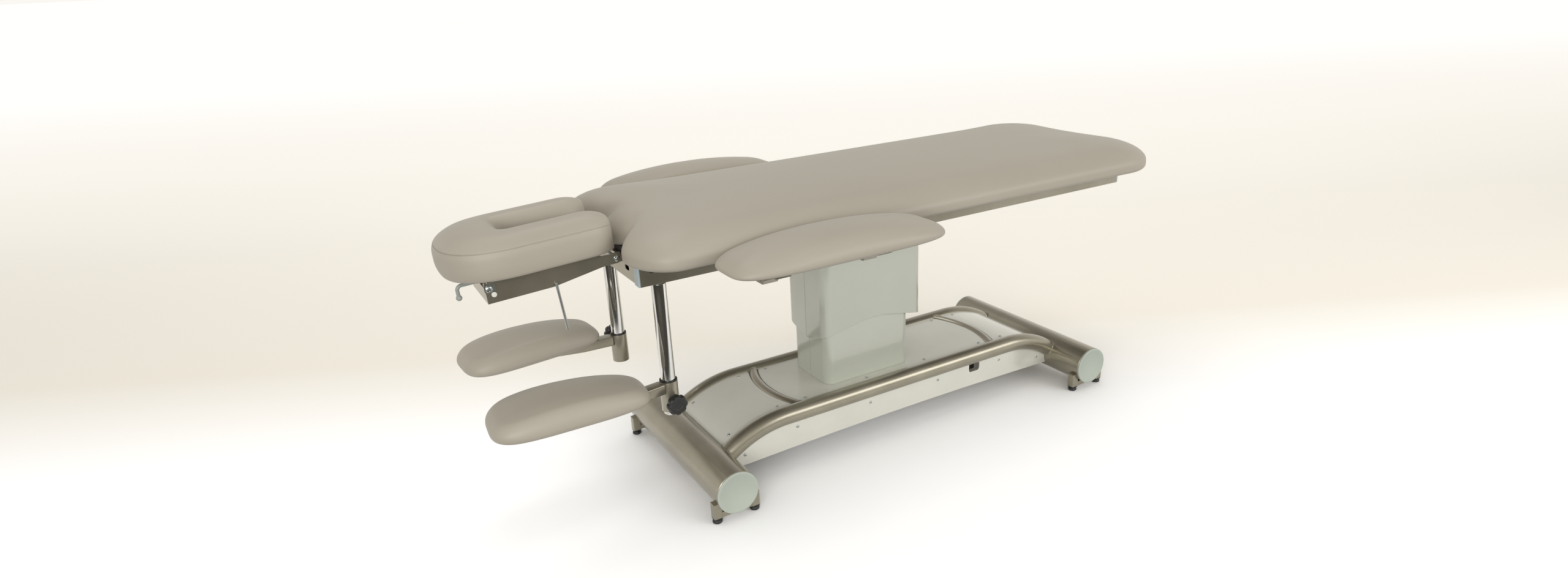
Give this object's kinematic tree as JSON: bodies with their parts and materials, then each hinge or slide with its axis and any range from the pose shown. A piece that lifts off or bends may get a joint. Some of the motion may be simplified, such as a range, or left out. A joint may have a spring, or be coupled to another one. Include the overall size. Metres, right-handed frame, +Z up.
{
  "type": "massage table",
  "caption": "Electric massage table on a lift column, with a tilting headrest with a face hole, side arm rests and arm rests that swing on posts at the head end.",
  "frame": {"origin": "on the floor, under the middle of the whole table", "axes": "+X towards the foot end of the table, +Y towards the side away from the cable notch, +Z up"},
  "size_m": [1.9534, 0.9956, 0.7612],
  "materials": {
    "steel_coating": "satin",
    "sheet_coating": "satin",
    "cap_plastic": "satin",
    "lever_coating": "satin",
    "cover_plastic": "gloss",
    "alloy": "satin",
    "chrome_plate": "polished",
    "black_plastic": "satin",
    "plywood": "matte",
    "upholstery": "satin",
    "white_plastic": "satin"
  },
  "bodies": {
    "base": {"head_cross_tube": "steel_coating", "foot_cross_tube": "steel_coating", "head_tube_cap_near": "cap_plastic", "head_tube_cap_far": "cap_plastic", "foot_tube_cap_near": "cap_plastic", "foot_tube_cap_far": "cap_plastic", "side_tube_near": "steel_coating", "side_tube_far": "steel_coating", "crossbar_head": "steel_coating", "crossbar_foot": "steel_coating", "base_sheet_head": "sheet_coating", "base_sheet_middle": "sheet_coating", "base_sheet_foot": "sheet_coating", "skirt_near": "sheet_coating", "skirt_far": "sheet_coating", "column_outer_profile": "alloy", "actuator_tube": "alloy", "lift_motor": "black_plastic", "lower_cover_near": "cover_plastic", "lower_cover_far": "cover_plastic"},
    "column_middle": {"column_middle_profile": "alloy"},
    "table_top": {"column_inner_profile": "alloy", "actuator_rod": "chrome_plate", "upper_cover_near": "cover_plastic", "upper_cover_far": "cover_plastic", "rail_near": "steel_coating", "rail_far": "steel_coating", "head_cross_member": "steel_coating", "foot_cross_member": "steel_coating", "table_board": "plywood", "main_cushion": "upholstery", "post_near": "chrome_plate", "post_far": "chrome_plate", "headrest_hinge_shaft": "chrome_plate"},
    "headrest": {"headrest_frame": "steel_coating", "headrest_cushion": "upholstery", "headrest_spacer_pin": "white_plastic"},
    "release_lever": {"headrest_lever": "lever_coating"},
    "hanging_rod": {"headrest_rod": "chrome_plate"},
    "arm_slider_near": {"arm_bush_near": "black_plastic"},
    "front_arm_near": {"front_arm_near": "steel_coating"},
    "front_arm_pad_near": {"front_arm_pad_near": "upholstery"},
    "arm_knob_near": {"arm_knob_near": "black_plastic"},
    "side_arm_near": {"side_arm_bracket_near": "steel_coating", "side_arm_pad_near": "upholstery"},
    "arm_slider_far": {"arm_bush_far": "black_plastic"},
    "front_arm_far": {"front_arm_far": "steel_coating"},
    "front_arm_pad_far": {"front_arm_pad_far": "upholstery"},
    "arm_knob_far": {"arm_knob_far": "black_plastic"},
    "side_arm_far": {"side_arm_bracket_far": "steel_coating", "side_arm_pad_far": "upholstery"},
    "levelling_foot_head_near_a": {"levelling_foot_head_near_a": "black_plastic"},
    "levelling_foot_head_near_b": {"levelling_foot_head_near_b": "black_plastic"},
    "levelling_foot_head_far_a": {"levelling_foot_head_far_a": "black_plastic"},
    "levelling_foot_head_far_b": {"levelling_foot_head_far_b": "black_plastic"},
    "levelling_foot_foot_near_a": {"levelling_foot_foot_near_a": "black_plastic"},
    "levelling_foot_foot_near_b": {"levelling_foot_foot_near_b": "black_plastic"},
    "levelling_foot_foot_far_a": {"levelling_foot_foot_far_a": "black_plastic"},
    "levelling_foot_foot_far_b": {"levelling_foot_foot_far_b": "black_plastic"}
  },
  "joints": [
    {"name": "column_lift", "type": "slide", "parent": "base", "child": "table_top", "axis": [0, 0, 1], "range_m": [-0.115, 0.1]},
    {"name": "column_middle_slide", "type": "slide", "parent": "base", "child": "column_middle", "axis": [0, 0, 1], "range_m": [-0.0575, 0.05]},
    {"name": "headrest_tilt", "type": "hinge", "parent": "table_top", "child": "headrest", "pos_m": [-0.6053, 0, 0.641], "axis": [0, 1, 0], "range_deg": [-35, 12]},
    {"name": "release_lever_turn", "type": "hinge", "parent": "headrest", "child": "release_lever", "pos_m": [-0.87413, -0.05, 0.64707], "axis": [0, -1, 0], "range_deg": [0, 15], "stiffness_Nm_per_rad": 0.5, "springref_deg": -20.05},
    {"name": "hanging_rod_swing", "type": "hinge", "parent": "headrest", "child": "hanging_rod", "pos_m": [-0.74985, -0.0775, 0.61238], "axis": [0, 1, 0], "range_deg": [-20, 20]},
    {"name": "arm_height_near", "type": "slide", "parent": "table_top", "child": "arm_slider_near", "axis": [0, 0, 1], "range_m": [-0.01, 0.14]},
    {"name": "arm_swing_near", "type": "hinge", "parent": "arm_slider_near", "child": "front_arm_near", "pos_m": [-0.54829, -0.166, 0.325], "axis": [0, 0, 1], "range_deg": [-12, 100]},
    {"name": "arm_pad_swivel_near", "type": "hinge", "parent": "front_arm_near", "child": "front_arm_pad_near", "pos_m": [-0.7917, -0.2019, 0.3553], "axis": [0, 0, 1], "range_deg": [-20, 20]},
    {"name": "arm_knob_turn_near", "type": "hinge", "parent": "front_arm_near", "child": "arm_knob_near", "pos_m": [-0.54829, -0.207, 0.308], "axis": [0, -1, 0], "continuous": true},
    {"name": "side_arm_slide_near", "type": "slide", "parent": "table_top", "child": "side_arm_near", "axis": [0, -1, 0], "range_m": [0, 0.07]},
    {"name": "arm_height_far", "type": "slide", "parent": "table_top", "child": "arm_slider_far", "axis": [0, 0, 1], "range_m": [-0.002, 0.14]},
    {"name": "arm_swing_far", "type": "hinge", "parent": "arm_slider_far", "child": "front_arm_far", "pos_m": [-0.54829, 0.166, 0.325], "axis": [0, 0, -1], "range_deg": [-12, 100]},
    {"name": "arm_pad_swivel_far", "type": "hinge", "parent": "front_arm_far", "child": "front_arm_pad_far", "pos_m": [-0.77409, 0.1747, 0.3603], "axis": [0, 0, 1], "range_deg": [-20, 20]},
    {"name": "arm_knob_turn_far", "type": "hinge", "parent": "front_arm_far", "child": "arm_knob_far", "pos_m": [-0.54829, 0.207, 0.348], "axis": [0, 1, 0], "continuous": true},
    {"name": "side_arm_slide_far", "type": "slide", "parent": "table_top", "child": "side_arm_far", "axis": [0, 1, 0], "range_m": [0, 0.07]},
    {"name": "levelling_foot_head_near_a_turn", "type": "hinge", "parent": "base", "child": "levelling_foot_head_near_a", "pos_m": [-0.4976, -0.2638, 0.007], "axis": [0, 0, 1], "continuous": true},
    {"name": "levelling_foot_head_near_b_turn", "type": "hinge", "parent": "base", "child": "levelling_foot_head_near_b", "pos_m": [-0.3962, -0.2638, 0.007], "axis": [0, 0, 1], "continuous": true},
    {"name": "levelling_foot_head_far_a_turn", "type": "hinge", "parent": "base", "child": "levelling_foot_head_far_a", "pos_m": [-0.4976, 0.2638, 0.007], "axis": [0, 0, 1], "continuous": true},
    {"name": "levelling_foot_head_far_b_turn", "type": "hinge", "parent": "base", "child": "levelling_foot_head_far_b", "pos_m": [-0.3962, 0.2638, 0.007], "axis": [0, 0, 1], "continuous": true},
    {"name": "levelling_foot_foot_near_a_turn", "type": "hinge", "parent": "base", "child": "levelling_foot_foot_near_a", "pos_m": [0.70961, -0.2638, 0.007], "axis": [0, 0, 1], "continuous": true},
    {"name": "levelling_foot_foot_near_b_turn", "type": "hinge", "parent": "base", "child": "levelling_foot_foot_near_b", "pos_m": [0.811, -0.2638, 0.007], "axis": [0, 0, 1], "continuous": true},
    {"name": "levelling_foot_foot_far_a_turn", "type": "hinge", "parent": "base", "child": "levelling_foot_foot_far_a", "pos_m": [0.70961, 0.2638, 0.007], "axis": [0, 0, 1], "continuous": true},
    {"name": "levelling_foot_foot_far_b_turn", "type": "hinge", "parent": "base", "child": "levelling_foot_foot_far_b", "pos_m": [0.811, 0.2638, 0.007], "axis": [0, 0, 1], "continuous": true}
  ],
  "couplings": [
    {"joint": "column_middle_slide", "follows": "column_lift", "ratio": 0.5}
  ]
}
